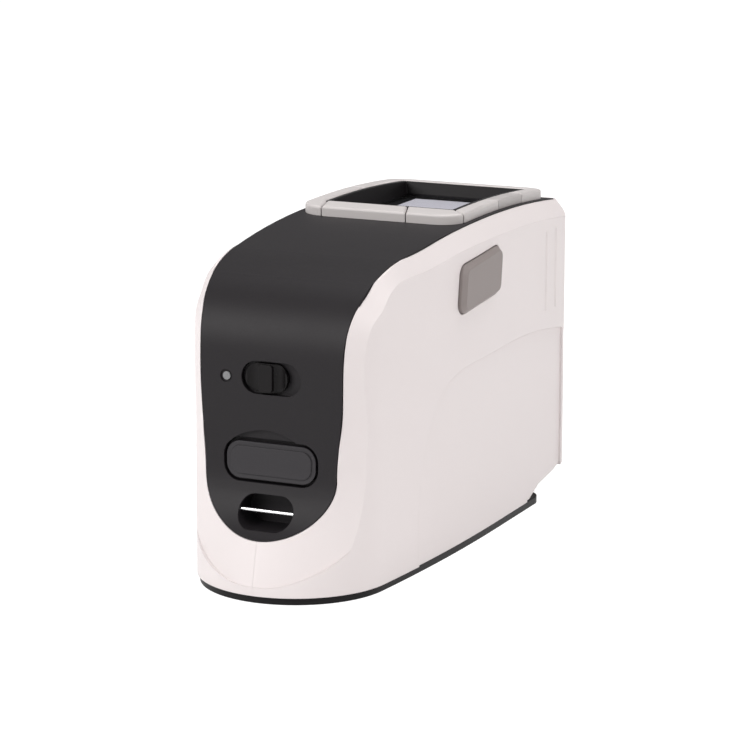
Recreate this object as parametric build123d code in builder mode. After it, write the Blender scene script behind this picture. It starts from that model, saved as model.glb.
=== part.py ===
# Portable sphere spectrophotometer, millimetres, +Z up, user side facing -Y.
# The origin is on the resting plane, under the middle of the length, on the mould's parting plane.

import os
from math import acos, asin, atan2, cos, degrees, radians, sin, sqrt

from build123d import *

os.makedirs("parts", exist_ok=True)

# Overall body
length = 184.0
half_width = 38.5
nose_radius = 34.0
side_flare = 6.1
rear_corner_radius = 4.0
wall = 2.4
seat_gap = 0.3
fit_gap = 0.05

# Side profile of the black cover, from the lip above the chin to the rear edge
face_foot_back = 14.3
face_foot_height = 43.0
face_lean = 88.8
face_length = 36.6
lip_radius = 31.0
lip_turn = 51.0
bend_radius = 27.0
bend_end = 25.0
shoulder_radius = 60.0
shoulder_end = 7.0
crown_radius = 600.0

# Outline of the cover across its width
lip_half_width = 24.0
lip_rise = 20.0
face_half_width = 25.6
bend_half_width = 28.1
shoulder_half_width = 30.4
top_half_width = 33.0
cover_thickness = 1.8
cover_groove = 0.25
ledge_width = 4.0
ledge_depth = 2.2
ledge_under_wall = 1.2

# Bevelled band that frames the cover on the shells
band_angle = 48.0
band_stations = 27
lip_band_angle = 32.0

# Rear of the shells: undercut, leaning lower wall and overhanging head
base_thickness = 2.5
base_inset = 0.9
undercut_start = 34.0
undercut_height = 11.4
rear_waist_height = 60.0
rear_waist_inset = 3.6
head_bottom_height = 72.5

# Soft grip recess low on each side, and the two ribs behind it
recess_depth = 0.8
recess_taper = 62.0
recess_front_back = 58.0
recess_top_height = 66.0
rib_backs = (162.3, 171.6)
rib_bottom_height = 72.4
rib_top_height = 100.8
rib_radius = 1.0
rib_proud = 0.5

# Side test button, corners as (distance from the nose, height)
button_corners = ((81.8, 84.2), (115.8, 87.0), (118.0, 104.2), (84.2, 101.2))
button_corner_radius = 4.0
button_proud = 1.8
button_bevel = 1.5
button_gap = 0.35
button_travel = 1.0
button_flange = 1.6
button_flange_x = 34.7

# Port bay with its flap, strap slot, power switch and status light on the black face
bay_width = 34.7
bay_height = 14.5
bay_centre_z = 44.45
bay_radius = 6.0
bay_depth = 2.8
floor_thickness = 1.8
flap_margin = 1.0
flap_sunk = 0.2
flap_thickness = 2.0
notch_radius = 21.2
notch_centre = (-2.0, 33.8)
notch_depth = 1.6
slot_width = 20.0
slot_height = 10.9
slot_centre_z = 28.35
slot_wall = 1.4
slot_back = 19.5
bar_radius = 0.7
bar_back = 12.0
switch_width = 21.8
switch_height = 11.1
switch_centre_z = 72.6
switch_depth = 2.2
slider_width = 15.4
dish_offset = 4.5
dish_radius = 3.4
slider_travel = 3.5
slider_rest_x = -1.75
slider_stem_width = 5.0
slider_stem_height = 3.0
light_x = -16.5
light_z = 72.2
light_radius = 1.4
light_rim = 2.2
board_face_back = 25.0
board_thickness = 1.6

# Display frame on the top, and the well inside it
ring_half_width = 31.0
ring_front_back = 97.5
ring_rear_back = 182.0
ring_corner_radius = 9.0
ring_height = 3.4
opening_half_width = 25.2
opening_front_back = 108.5
opening_rear_back = 176.0
ring_gap = 0.35
ring_cuts = (
    (-21.4, 97.5, -24.4, 108.5),
    (11.1, 97.5, 7.0, 108.5),
    (31.0, 103.0, 25.2, 108.5),
    (31.0, 134.0, 25.2, 134.0),
    (31.0, 156.0, 25.2, 156.0),
    (-31.0, 142.0, -25.2, 142.0),
)
key_travel = 0.7
key_pocket = 1.0
key_stem_radius = 1.5
bezel_rise = 3.0
bezel_wall = 1.6
window_height = 109.6
window_thickness = 1.2
window_width = 46.0
window_length = 63.0
view_width = 44.0
view_length = 61.0
main_board_top = 103.2
switch_size = 6.0
switch_top = 108.2

# Optics: measuring aperture, sphere in two halves and spectrometer above it
aperture_back = 140.0
aperture_radius = 4.0
aperture_ring_radius = 12.5
sphere_height = 29.0
sphere_radius = 25.0
sphere_wall = 2.5
flange_radius = 31.0
flange_half = 2.0
post_spread = 20.5
post_radius = 3.2
long_screw_radius = 1.3
deck_height = 58.0
deck_thickness = 2.0
barrel_radius = 6.0
barrel_tilt = 8.0
lamp_tilt = -52.0
spectro_width = 40.0
spectro_length = 50.0
spectro_height = 22.0
spectro_wall = 2.0

# Battery and the screws of the base
battery_width = 38.0
battery_length = 68.0
battery_height = 19.0
tray_wall = 1.5
tray_front_back = 32.0
boss_radius = 4.0
boss_height = 16.0
screw_spots = ((30.5, 42.0), (32.3, 88.0), (32.8, 147.0))
screw_radius = 1.5
screw_head_radius = 2.9
small_screw_radius = 1.1


def from_nose(distance):
    """Y of a place measured back from the front of the chin."""
    return distance - length / 2


def direction(angle):
    return Vector(cos(radians(angle)), sin(radians(angle)))


def inward(angle):
    return Vector(sin(radians(angle)), -cos(radians(angle)))


face_foot = Vector(from_nose(face_foot_back), face_foot_height)
face_head = face_foot + direction(face_lean) * face_length
lip_centre = face_foot - inward(face_lean) * lip_radius
bend_centre = face_head + inward(face_lean) * bend_radius
bend_tail = bend_centre - inward(bend_end) * bend_radius
shoulder_centre = bend_tail + inward(bend_end) * shoulder_radius
shoulder_tail = shoulder_centre - inward(shoulder_end) * shoulder_radius
crown_centre = shoulder_tail + inward(shoulder_end) * crown_radius
rear_y = from_nose(length)
beyond = 12.0
crown_tail_angle = degrees(acos((rear_y + beyond - crown_centre.X) / crown_radius)) - 90


def top_height(y):
    """Height of the cover's top surface at a place behind the bend."""
    if y > shoulder_tail.X:
        return crown_centre.Y + sqrt(crown_radius**2 - (y - crown_centre.X) ** 2)
    if y > bend_tail.X:
        return shoulder_centre.Y + sqrt(shoulder_radius**2 - (y - shoulder_centre.X) ** 2)
    return bend_centre.Y + sqrt(bend_radius**2 - (y - bend_centre.X) ** 2)


def cover_profile(inset):
    """The cover's side profile, moved into the body by inset; one run of tangent arcs."""
    foot = face_foot + inward(face_lean) * inset
    head = face_head + inward(face_lean) * inset
    down = -direction(face_lean)
    lip = JernArc(foot, down, lip_radius + inset, -lip_turn)
    Line(lip @ 1, (lip @ 1) + (lip % 1) * beyond)
    Line(foot, head)
    bend = JernArc(head, direction(face_lean), bend_radius - inset, bend_end - face_lean)
    shoulder = JernArc(bend @ 1, bend % 1, shoulder_radius - inset, shoulder_end - bend_end)
    crown = JernArc(
        shoulder @ 1, shoulder % 1, crown_radius - inset, crown_tail_angle - shoulder_end
    )
    return (lip @ 1) + (lip % 1) * beyond, crown @ 1


def side_slab(top, bottom=None):
    """Everything under an inset of the cover's profile, down to a deeper one if given."""
    with BuildPart() as slab:
        with BuildSketch(Plane.YZ):
            for inset, mode in ((top, Mode.ADD), (bottom, Mode.SUBTRACT)):
                if inset is None:
                    continue
                with BuildLine():
                    front_end, rear_end = cover_profile(inset)
                    floor = -beyond
                    Polyline(
                        rear_end,
                        (rear_end.X, floor),
                        (front_end.X, floor),
                        front_end,
                    )
                make_face(mode=mode)
        extrude(amount=half_width + beyond, both=True)
    return slab.part

def cover_back(z):
    """Y of the cover's front surface at a height below the bend."""
    if z < face_foot.Y:
        return lip_centre.X + sqrt(lip_radius**2 - (z - lip_centre.Y) ** 2)
    if z < face_head.Y:
        return face_foot.X + (z - face_foot.Y) / (face_head - face_foot).Y * (face_head - face_foot).X
    return bend_centre.X - sqrt(bend_radius**2 - (z - bend_centre.Y) ** 2)


# Where the front-view outline of the cover hands over to its top-view outline
lip_top_height = face_foot_height - 2.7
handover_y = bend_centre.X - bend_radius * cos(radians(45))
handover_z = bend_centre.Y + bend_radius * sin(radians(45))
shoulder_y = shoulder_tail.X - 4
straight_y = from_nose(112)
cover_rear_wall = 1.6


def front_outline(grow):
    """Right half of the cover as seen from the front, centre line to handover, as lines."""
    half_ellipse = EllipticalCenterArc(
        (0, lip_top_height),
        lip_half_width + grow,
        lip_rise + grow,
        start_angle=-90,
        arc_size=90,
    )
    rise = Spline(
        half_ellipse @ 1,
        (face_half_width + grow, face_head.Y - 18),
        (bend_half_width + grow, handover_z),
        tangents=((0, 1), (0.28, 1)),
    )
    return rise @ 1


def top_outline(grow):
    """Right half of the cover as seen from above, from the handover back to the rear."""
    sweep_back = Spline(
        (bend_half_width + grow, handover_y),
        (shoulder_half_width + grow, shoulder_y),
        (top_half_width + grow, straight_y),
        tangents=((0.16, 1), (0, 1)),
    )
    return sweep_back @ 0, sweep_back @ 1


def cover_blank(top, bottom, grow, rear_y_end):
    """A layer of the cover between two depths, with its outline moved out by grow."""
    with BuildPart() as blank:
        with BuildSketch(Plane.XZ.offset(-handover_y - beyond)):
            with BuildLine():
                end = front_outline(grow)
                Polyline(end, (0, end.Y), (0, lip_top_height - lip_rise - grow))
            make_face()
            mirror(about=Plane.YZ)
        extrude(amount=handover_y - from_nose(0) + 3 * beyond)
        with BuildSketch():
            with BuildLine():
                start, end = top_outline(grow)
                Polyline(end, (end.X, rear_y_end), (0, rear_y_end), (0, start.Y), start)
            make_face()
            mirror(about=Plane.YZ)
        extrude(amount=length)
        add(side_slab(top, bottom), mode=Mode.INTERSECT)
    return blank.part


# The white shells
side_radius = (half_width - nose_radius * cos(radians(side_flare))) / (1 - cos(radians(side_flare)))
wide_point_y = (
    from_nose(nose_radius) - nose_radius * sin(radians(side_flare)) + side_radius * sin(radians(side_flare))
)


def plan_outline(inset):
    """The body seen from above, moved in by inset."""
    with BuildSketch() as plan:
        with BuildLine():
            nose = JernArc((0, from_nose(inset)), (1, 0), nose_radius - inset, 90 - side_flare)
            side = JernArc(nose @ 1, nose % 1, side_radius - inset, side_flare)
            corner = rear_corner_radius - min(inset, rear_corner_radius - 1)
            straight = Line(side @ 1, (half_width - inset, rear_y - inset - corner))
            turn = JernArc(straight @ 1, (0, 1), corner, 90)
            Polyline(turn @ 1, (0, rear_y - inset), (0, from_nose(inset)))
        make_face()
        mirror(about=Plane.YZ)
    return plan.sketch


def rear_and_floor(inset):
    """Side view of the body's rear and underside, open towards the front and the top."""
    with BuildSketch(Plane.YZ) as view:
        with BuildLine():
            Polyline(
                (from_nose(0) - beyond, base_thickness),
                (rear_y - undercut_start, base_thickness),
                (rear_y - undercut_start + 9, base_thickness + 3.7),
                (rear_y - 10, base_thickness + 5.7),
                (rear_y, undercut_height),
                (rear_y - rear_waist_inset, rear_waist_height),
                (rear_y, head_bottom_height),
                (rear_y, length),
                (from_nose(0) - beyond, length),
                close=True,
            )
        make_face()
        rear_corners = view.vertices().filter_by_position(Axis.Z, base_thickness + 1, length - 1)
        fillet(rear_corners, radius=3)
        if inset:
            offset(amount=-inset, kind=Kind.INTERSECTION)
            with Locations((from_nose(0), 0)):
                Rectangle(
                    length - undercut_start - 2,
                    base_thickness + 2 * inset,
                    align=(Align.MIN, Align.MIN),
                )
    return view.sketch


def band_wedge(inset):
    """What the bevel takes off the right shell beside the cover, swept along the cover's edge."""
    corner = [
        (lip_half_width * sin(radians(turn)), lip_top_height - lip_rise * cos(radians(turn)))
        for turn in (-28, 0, 28, 55, 80)
    ]
    rise = [
        (lip_half_width + 0.7, face_foot_height + 6),
        (face_half_width, face_head.Y - 15),
        (face_half_width + 0.6, face_head.Y + 3),
        (bend_half_width - 1.1, bend_centre.Y + bend_radius * sin(radians(25))),
        (bend_half_width, handover_z),
    ]
    run_back = [
        (bend_half_width + 1.1, handover_y + 8),
        (shoulder_half_width - 0.5, shoulder_y - 12),
        (shoulder_half_width + 0.6, shoulder_y + 8),
        (top_half_width - 0.7, shoulder_y + 35),
        (top_half_width, straight_y + 12),
        (top_half_width, rear_y - 30),
        (top_half_width, rear_y + beyond),
    ]
    points = [(x, cover_back(z), z) for x, z in corner + rise]
    points += [(x, y, top_height(y)) for x, y in run_back]
    edge = Spline(*points, mode=Mode.PRIVATE)
    with BuildPart() as wedge:
        for index in range(band_stations + 1):
            place = index / band_stations
            corner = edge @ place
            along = edge % place
            slope = surface_slope(corner.Y, corner.Z)
            outward = Vector(0, -sin(radians(slope)), cos(radians(slope)))
            across = along.cross(outward).normalized()
            outward = across.cross(along)
            lean = lip_band_angle + (band_angle - lip_band_angle) * min(place / 0.22, 1)
            across = across * cos(radians(lean)) - outward * sin(radians(lean))
            with BuildSketch(Plane(corner, x_dir=across, z_dir=along)):
                with Locations((-5, inset)):
                    Rectangle(20, 12 + inset, align=(Align.MIN, Align.MAX))
        loft()
    return wedge.part


def surface_slope(y, z):
    """Angle of the cover's surface from the horizontal at a place on its profile."""
    if z < face_foot.Y:
        return degrees(acos((lip_centre.Y - z) / lip_radius))
    if z < face_head.Y:
        return face_lean
    if y < bend_tail.X:
        return degrees(acos((z - bend_centre.Y) / bend_radius))
    if y < shoulder_tail.X:
        return degrees(asin((shoulder_centre.X - y) / shoulder_radius))
    return degrees(asin((crown_centre.X - y) / crown_radius))


def housing_form(inset):
    """The body's outer form moved in by inset, before the bevelled bands are taken off."""
    with BuildPart() as form:
        add(plan_outline(inset))
        extrude(amount=length)
        extrude(rear_and_floor(inset), amount=half_width, both=True, mode=Mode.INTERSECT)
        add(side_slab(inset), mode=Mode.INTERSECT)
    return form.part


def side_polygon(corners, radius, grow, near, far):
    """A rounded outline seen from the side, given by distance from the nose and height."""
    with BuildPart() as block:
        with BuildSketch(Plane.YZ.offset(near)) as outline:
            with BuildLine():
                Polyline(*[(from_nose(back), z) for back, z in corners], close=True)
            make_face()
            fillet(outline.vertices(), radius=radius)
            if grow:
                offset(amount=grow)
        extrude(amount=far - near)
    return block.part


def upright_rod(x, y, low, high, radius):
    with BuildPart() as rod:
        with BuildSketch(Plane.XY.offset(low)):
            with Locations((x, y)):
                Circle(radius)
        extrude(amount=high - low)
    return rod.part


def upright_box(x_low, x_high, y_low, y_high, low, high, corner=0.0):
    with BuildPart() as block:
        with BuildSketch(Plane.XY.offset(low)):
            with Locations(((x_low + x_high) / 2, (y_low + y_high) / 2)):
                if corner:
                    RectangleRounded(x_high - x_low, y_high - y_low, corner)
                else:
                    Rectangle(x_high - x_low, y_high - y_low)
        extrude(amount=high - low)
    return block.part


def face_block(width, height, corner, x, z, front, back):
    """A rounded rectangle on the front, from one distance behind the nose to another."""
    with BuildPart() as block:
        with BuildSketch(Plane.XZ.offset(-from_nose(back))):
            with Locations((x, z)):
                RectangleRounded(width, height, corner)
        extrude(amount=back - front)
    return block.part


def face_layer(width, height, corner, x, z, top, bottom):
    """A rounded rectangle on the front, as a layer between two depths under the face."""
    with BuildPart() as layer:
        add(face_block(width, height, corner, x, z, -beyond, board_face_back + beyond))
        add(side_slab(top, bottom), mode=Mode.INTERSECT)
    return layer.part


def body_half(inset):
    """Right half of the body moved in by inset, with its bevelled band."""
    with BuildPart() as half:
        add(housing_form(inset))
        split(bisect_by=Plane.YZ, keep=Keep.TOP)
        add(band_wedge(inset), mode=Mode.SUBTRACT)
    return half.part


def grip_recess():
    """The thin layer taken off the side below the grip curve."""
    with BuildPart() as grip:
        with BuildSketch(Plane.YZ.offset(half_width - 6)):
            with BuildLine():
                curve = Spline(
                    (from_nose(length - rear_corner_radius - 1), recess_top_height - 3.4),
                    (from_nose(150), recess_top_height),
                    (from_nose(100), recess_top_height - 0.4),
                    (from_nose(72), recess_top_height - 5.6),
                    (from_nose(recess_front_back + 1), recess_top_height - 24),
                    (from_nose(recess_front_back - 3), -1),
                )
                Polyline(curve @ 1, ((curve @ 0).X, -1), curve @ 0)
            make_face()
        extrude(amount=beyond)
        add(housing_form(recess_depth), mode=Mode.SUBTRACT)
    return grip.part


# The parts of the face that both the shells and the cover are cut around
strap_block = face_block(
    slot_width + 2 * slot_wall,
    slot_height + 2 * slot_wall,
    slot_height / 2 + slot_wall - 0.01,
    0,
    slot_centre_z,
    -beyond,
    slot_back + slot_wall,
)
cover_rear = rear_y - cover_rear_wall
outer_half = body_half(0)
inner_half = body_half(wall)
grip = grip_recess()


def shell_half(with_button):
    """One white shell, built as the right one."""
    with BuildPart() as shell:
        add(outer_half)
        add(inner_half, mode=Mode.SUBTRACT)
        with BuildPart(mode=Mode.PRIVATE) as ledge:
            add(cover_blank(cover_thickness, cover_thickness + ledge_depth, ledge_under_wall, rear_y - 1))
            add(
                cover_blank(0, 3 * ledge_depth, -ledge_width, cover_rear - ledge_width),
                mode=Mode.SUBTRACT,
            )
            split(bisect_by=Plane.YZ, keep=Keep.TOP)
        add(ledge.part)
        add(
            cover_blank(-5, cover_thickness, cover_groove, cover_rear),
            mode=Mode.SUBTRACT,
        )
        add(
            cover_blank(0, 3 * ledge_depth, -ledge_width, cover_rear - ledge_width),
            mode=Mode.SUBTRACT,
        )
        for x, back in screw_spots:
            add(upright_rod(x, from_nose(back), base_thickness, boss_height, boss_radius))
        split(bisect_by=Plane.YZ, keep=Keep.TOP)
        add(outer_half, mode=Mode.INTERSECT)
        add(grip, mode=Mode.SUBTRACT)
        for x, back in screw_spots:
            add(
                upright_rod(x, from_nose(back), 0, boss_height - 2, screw_radius),
                mode=Mode.SUBTRACT,
            )
        add(
            upright_rod(post_spread, from_nose(aperture_back) + post_spread, 0, 20, post_radius + 1.3),
            mode=Mode.SUBTRACT,
        )
        for back in rib_backs:
            with Locations((half_width + rib_proud - rib_radius, from_nose(back), rib_bottom_height)):
                Cylinder(
                    rib_radius,
                    rib_top_height - rib_bottom_height,
                    align=(Align.CENTER, Align.CENTER, Align.MIN),
                )
                Sphere(rib_radius)
            with Locations((half_width + rib_proud - rib_radius, from_nose(back), rib_top_height)):
                Sphere(rib_radius)
        add(
            face_block(
                slot_width + 2 * slot_wall + 0.6,
                slot_height + 2 * slot_wall + 0.6,
                slot_height / 2 + slot_wall,
                0,
                slot_centre_z,
                -beyond,
                slot_back + slot_wall + beyond,
            ),
            mode=Mode.SUBTRACT,
        )
        if with_button:
            add(
                side_polygon(button_corners, button_corner_radius, button_gap, 20, half_width + 5),
                mode=Mode.SUBTRACT,
            )
            for back, z in button_board_posts:
                with BuildSketch(Plane.YZ.offset(button_board_x)):
                    with Locations((from_nose(back), z)):
                        Circle(2.2)
                extrude(amount=half_width - wall / 2 - button_board_x)
                with BuildSketch(Plane.YZ.offset(button_board_x)):
                    with Locations((from_nose(back), z)):
                        Circle(small_screw_radius)
                extrude(amount=8, mode=Mode.SUBTRACT)
    return shell.part


button_board_x = 25.0
button_board_posts = ((90.0, 79.5), (112.0, 80.5))
parts = {}


def keep(name, solid):
    solid.label = name
    parts[name] = solid
    export_step(solid, f"parts/{name}.step")


keep("right_shell", shell_half(True))
keep("left_shell", mirror(shell_half(False), about=Plane.YZ))


# Black base plate with the bosses that carry the optics
optics_y = from_nose(aperture_back)
posts = [(x, optics_y + y) for x in (-post_spread, post_spread) for y in (-post_spread, post_spread)]
screw_places = [(side * x, from_nose(back)) for side in (-1, 1) for x, back in screw_spots]
flange_bottom = sphere_height - flange_half

with BuildPart() as base_plate:
    add(plan_outline(base_inset))
    extrude(amount=base_thickness)
    with Locations((0, rear_y, 0)):
        Box(length, 2 * (undercut_start - 14), 2 * beyond, mode=Mode.SUBTRACT)
    fillet(base_plate.edges().filter_by(Axis.Z).sort_by(Axis.Y)[-2:], radius=8)
    with Locations(*[(x, y, 0) for x, y in posts]):
        Cylinder(post_radius + 1, flange_bottom, align=(Align.CENTER, Align.CENTER, Align.MIN))
        Cylinder(
            long_screw_radius,
            flange_bottom * 3,
            align=(Align.CENTER, Align.CENTER, Align.MIN),
            mode=Mode.SUBTRACT,
        )
    with Locations((0, optics_y, 0)):
        Cylinder(aperture_ring_radius, base_thickness, mode=Mode.SUBTRACT)
        Cylinder(aperture_radius + 1, 3 * base_thickness, mode=Mode.SUBTRACT)
    with Locations(*[(x, y, 0) for x, y in screw_places]):
        Cylinder(screw_radius + 0.1, 3 * base_thickness, mode=Mode.SUBTRACT)
        Cone(
            screw_head_radius,
            screw_radius,
            screw_head_radius - screw_radius,
            align=(Align.CENTER, Align.CENTER, Align.MIN),
            mode=Mode.SUBTRACT,
        )
keep("base_plate", base_plate.part)

with BuildPart() as aperture_ring:
    with Locations((0, optics_y, 0)):
        Cylinder(
            aperture_ring_radius - fit_gap,
            base_thickness / 2,
            align=(Align.CENTER, Align.CENTER, Align.MIN),
        )
        Cone(
            aperture_radius + 2.5,
            aperture_radius,
            base_thickness / 2,
            align=(Align.CENTER, Align.CENTER, Align.MIN),
            mode=Mode.SUBTRACT,
        )
keep("aperture_ring", aperture_ring.part)

with BuildPart() as base_screws:
    with Locations(*[(x, y, 0) for x, y in screw_places]):
        Cone(
            screw_head_radius,
            screw_radius,
            screw_head_radius - screw_radius,
            align=(Align.CENTER, Align.CENTER, Align.MIN),
        )
        Cylinder(
            screw_radius - 0.02, boss_height - 4, align=(Align.CENTER, Align.CENTER, Align.MIN)
        )
        Box(3.4, 0.8, 1.2, mode=Mode.SUBTRACT)
        Box(0.8, 3.4, 1.2, mode=Mode.SUBTRACT)
keep("base_screws", base_screws.part)


# Black front cover, one moulding from the lip above the chin to the rear of the top
bay = (bay_width, bay_height, bay_radius, 0, bay_centre_z)
switch_slot = (switch_width, switch_height, switch_height / 2 - 0.01, 0, switch_centre_z)
opening_length = opening_rear_back - opening_front_back
opening_y = from_nose((opening_front_back + opening_rear_back) / 2)
ring_length = ring_rear_back - ring_front_back
ring_y = from_nose((ring_front_back + ring_rear_back) / 2)
bezel_gap = 0.15
socket_places = {"printer_socket": (-9.5, 7.6, 5.0), "dc_socket": (0.0, 6.0, 6.0), "usb_socket": (9.5, 8.2, 3.4)}
board_posts = [(x, z) for x in (-18.4, 18.4) for z in (57.5, 84.0)]


def ring_plan():
    """Plan of the grey frame, cut into its six pieces."""
    with BuildSketch() as plan:
        with Locations((0, ring_y)):
            RectangleRounded(2 * ring_half_width, ring_length, ring_corner_radius)
        with Locations((0, opening_y)):
            Rectangle(2 * opening_half_width, opening_length, mode=Mode.SUBTRACT)
        for x_out, back_out, x_in, back_in in ring_cuts:
            across = Vector(x_in - x_out, back_in - back_out)
            with Locations(((x_in + x_out) / 2, from_nose((back_in + back_out) / 2))):
                Rectangle(
                    across.length + 4,
                    ring_gap,
                    rotation=degrees(atan2(across.Y, across.X)),
                    mode=Mode.SUBTRACT,
                )
    return plan


def ring_layer(face, grow, top, bottom):
    """One piece of the frame, as a layer over the cover between two depths."""
    with BuildPart() as layer:
        with BuildSketch():
            add(face)
            if grow:
                offset(amount=grow, kind=Kind.INTERSECTION)
        extrude(amount=length)
        add(side_slab(top, bottom), mode=Mode.INTERSECT)
    return layer.part


ring_names = (
    "display_key_left",
    "display_key_right",
    "frame_left",
    "frame_right_front",
    "frame_right_middle",
    "frame_rear",
)
ring_faces = dict(zip(ring_names, ring_plan().faces().sort_by(Axis.Y)))
key_stems = {
    name: [(ring_faces[name].center().X + x, from_nose(103.0)) for x in offsets]
    for name, offsets in (("display_key_left", (-9, 9)), ("display_key_right", (-5, 5)))
}

with BuildPart() as front_cover:
    add(cover_blank(0, cover_thickness, 0, cover_rear - cover_groove))
    # Stiffening behind the bay, the switch recess, the notch and the keys
    rear_of_bay = bay_depth + floor_thickness
    add(face_layer(bay_width + 4, bay_height + 4, bay_radius + 2, 0, bay_centre_z, 0.5, rear_of_bay))
    add(
        face_layer(
            switch_width + 4,
            switch_height + 4,
            switch_height / 2 + 1.9,
            0,
            switch_centre_z,
            0.5,
            switch_depth + floor_thickness,
        )
    )
    add(face_layer(26, 8, 3.5, notch_centre[0], 53.5, 0.5, notch_depth + 1.2))
    with BuildPart(mode=Mode.PRIVATE) as block:
        add(strap_block)
        add(side_slab(0), mode=Mode.INTERSECT)
    add(block.part)
    with BuildPart(mode=Mode.PRIVATE) as key_bed:
        add(upright_box(-25, 28.4, from_nose(96.5), from_nose(108), 90, 130, corner=2))
        add(side_slab(0.5, key_pocket + 1.2), mode=Mode.INTERSECT)
    add(key_bed.part)
    for x, z in board_posts:
        with BuildPart(mode=Mode.PRIVATE) as post:
            add(face_block(5, 5, 2.45, x, z, 0, board_face_back))
            add(side_slab(0.5), mode=Mode.INTERSECT)
        add(post.part)
    # Openings
    add(face_layer(bay_width, bay_height, bay_radius, 0, bay_centre_z, -3, bay_depth), mode=Mode.SUBTRACT)
    add(
        face_layer(
            switch_width, switch_height, switch_height / 2 - 0.01, 0, switch_centre_z, -3, switch_depth
        ),
        mode=Mode.SUBTRACT,
    )
    with BuildPart(mode=Mode.PRIVATE) as notch:
        with BuildSketch(Plane.XZ.offset(-from_nose(board_face_back))):
            with Locations(notch_centre):
                Circle(notch_radius)
            with Locations((notch_centre[0], bay_centre_z + bay_height / 2 - 0.7)):
                Rectangle(60, 60, align=(Align.CENTER, Align.MAX), mode=Mode.SUBTRACT)
        extrude(amount=board_face_back + beyond)
        add(side_slab(-3, notch_depth), mode=Mode.INTERSECT)
    add(notch.part, mode=Mode.SUBTRACT)
    for x, width, height in socket_places.values():
        add(
            face_block(width + 0.3, height + 0.3, 1.2, x, bay_centre_z, 10, board_face_back),
            mode=Mode.SUBTRACT,
        )
    add(
        face_block(
            slider_stem_width + slider_travel + 0.6,
            slider_stem_height + 0.6,
            1.0,
            slider_rest_x + slider_travel / 2,
            switch_centre_z,
            0,
            board_face_back,
        ),
        mode=Mode.SUBTRACT,
    )
    add(
        face_block(2 * light_radius + 0.1, 2 * light_radius + 0.1, light_radius, light_x, light_z, 0, 24),
        mode=Mode.SUBTRACT,
    )
    add(
        face_layer(2 * light_rim, 2 * light_rim, light_rim - 0.01, light_x, light_z, -3, 0.6),
        mode=Mode.SUBTRACT,
    )
    add(
        face_block(
            slot_width,
            slot_height,
            slot_height / 2 - 0.01,
            0,
            slot_centre_z,
            -beyond,
            slot_back,
        ),
        mode=Mode.SUBTRACT,
    )
    with Locations((0, from_nose(bar_back), slot_centre_z)):
        Cylinder(
            bar_radius + 0.02,
            slot_width + 2 * slot_wall - 0.8,
            rotation=(0, 90, 0),
            mode=Mode.SUBTRACT,
        )
    add(
        upright_box(
            -opening_half_width + 0.05,
            opening_half_width - 0.05,
            from_nose(opening_front_back) + 0.05,
            from_nose(opening_rear_back) - 0.05,
            90,
            130,
        ),
        mode=Mode.SUBTRACT,
    )
    for name, places in key_stems.items():
        add(ring_layer(ring_faces[name], ring_gap, -1, key_pocket), mode=Mode.SUBTRACT)
        for x, y in places:
            add(upright_rod(x, y, 90, 130, key_stem_radius + fit_gap), mode=Mode.SUBTRACT)
    for x, z in board_posts:
        add(
            face_block(2, 2, 0.99, x, z, board_face_back - 6, board_face_back + 1),
            mode=Mode.SUBTRACT,
        )
keep("front_cover", front_cover.part)

with BuildPart() as strap_bar:
    with Locations((0, from_nose(bar_back), slot_centre_z)):
        Cylinder(bar_radius, slot_width + 2 * slot_wall - 1.0, rotation=(0, 90, 0))
keep("strap_bar", strap_bar.part)


# Grey frame around the display; its two front pieces are sprung keys
def frame_piece(name):
    with BuildPart() as piece:
        add(ring_layer(ring_faces[name], 0, -ring_height, 0))
        top_edges = [
            edge
            for edge in piece.edges()
            if edge.center().Z > top_height(edge.center().Y) + ring_height - 0.3
        ]
        fillet(top_edges, radius=0.9)
    return piece.part


for name in ring_names[2:]:
    keep(name, frame_piece(name))

for name, places in key_stems.items():
    with BuildPart() as key:
        add(ring_layer(ring_faces[name], 0, -ring_height, key_pocket - key_travel - 0.15))
        top_edges = [
            edge
            for edge in key.edges()
            if edge.center().Z > top_height(edge.center().Y) + ring_height - 0.3
        ]
        fillet(top_edges, radius=0.9)
        for x, y in places:
            add(upright_rod(x, y, switch_top + key_travel + 0.1, top_height(y) + 1, key_stem_radius))
    keep(name, key.part)


# Display well: bezel, window, display module and the main board below
bezel_half = opening_half_width - bezel_gap
bezel_front = from_nose(opening_front_back) + bezel_gap
bezel_back = from_nose(opening_rear_back) - bezel_gap
window_bottom = window_height - window_thickness
module_thickness = 3.5
module_bottom = window_bottom - module_thickness
bezel_posts = [(x, y) for x in (-26.2, 26.2) for y in (bezel_front + 1, bezel_back - 1)]

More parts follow.
